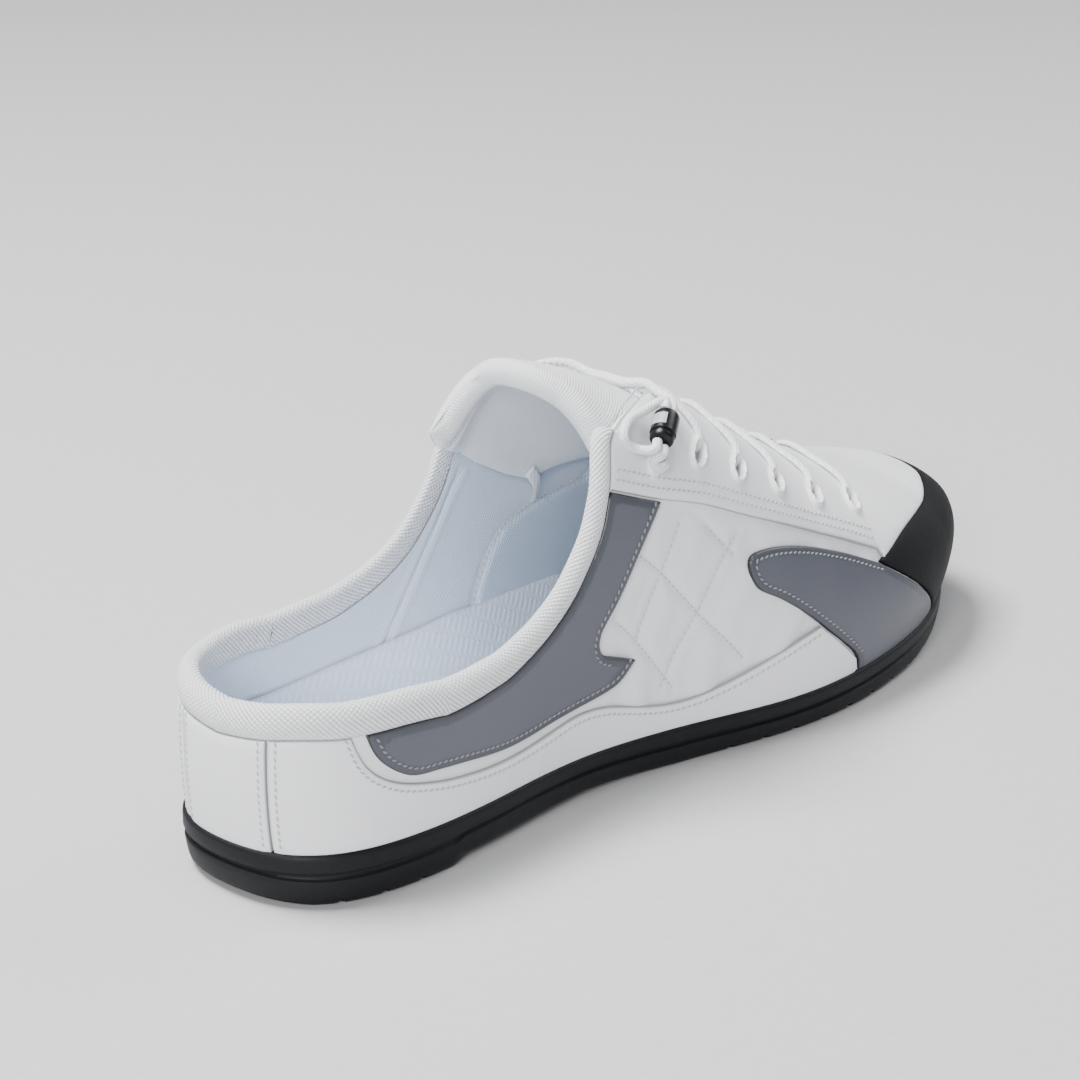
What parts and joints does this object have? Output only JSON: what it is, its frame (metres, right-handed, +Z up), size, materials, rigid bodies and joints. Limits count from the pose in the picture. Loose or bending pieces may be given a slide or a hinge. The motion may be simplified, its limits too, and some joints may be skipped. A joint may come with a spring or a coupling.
{
  "type": "sneaker mule",
  "caption": "Right sneaker mule: white upper with low open heel, grey collar trim, padded tongue, elastic lace with a black lock, black toe cap and black cupped sole",
  "frame": {"origin": "on the floor, under the middle of the whole shoe", "axes": "+Z up, +Y from the heel to the toe, +X to the wearer's right, which is the shoe's outer (lateral) side"},
  "size_m": [0.1003, 0.2904, 0.1125],
  "materials": {
    "white_leather": "smooth white synthetic leather, satin",
    "grey_leather": "grey synthetic leather, semi-gloss",
    "black_leather": "matte black toe cap",
    "black_rubber": "matte black moulded rubber",
    "white_lining": "pale ribbed footbed cloth",
    "white_knit": "white knit with a diagonal weave",
    "white_lace": "braided white elastic",
    "black_plastic": "black moulded plastic"
  },
  "bodies": {
    "root": {"collar_band": "white_knit", "collar_trim_lateral": "grey_leather", "collar_trim_medial": "grey_leather", "eyelet_lateral_1": "white_leather", "eyelet_lateral_2": "white_leather", "eyelet_lateral_3": "white_leather", "eyelet_lateral_4": "white_leather", "eyelet_lateral_5": "white_leather", "eyelet_lateral_6": "white_leather", "eyelet_medial_1": "white_leather", "eyelet_medial_2": "white_leather", "eyelet_medial_3": "white_leather", "eyelet_medial_4": "white_leather", "eyelet_medial_5": "white_leather", "eyelet_medial_6": "white_leather", "eyestay": "white_leather", "foxing_lateral": "white_leather", "foxing_medial": "white_leather", "heel_backstay": "white_leather", "insole": "white_lining", "lace_bar_2": "white_lace", "lace_bar_3": "white_lace", "lace_bar_4": "white_lace", "lace_bar_5": "white_lace", "lace_bar_6": "white_lace", "lace_end": "white_lace", "lace_lock": "black_plastic", "lace_loop": "white_lace", "lace_over": "white_lace", "outsole": "black_rubber", "toe_cap": "black_leather", "toe_patch_lateral": "grey_leather", "toe_patch_medial": "grey_leather", "tongue": "white_knit", "upper": "white_leather"}
  },
  "joints": []
}
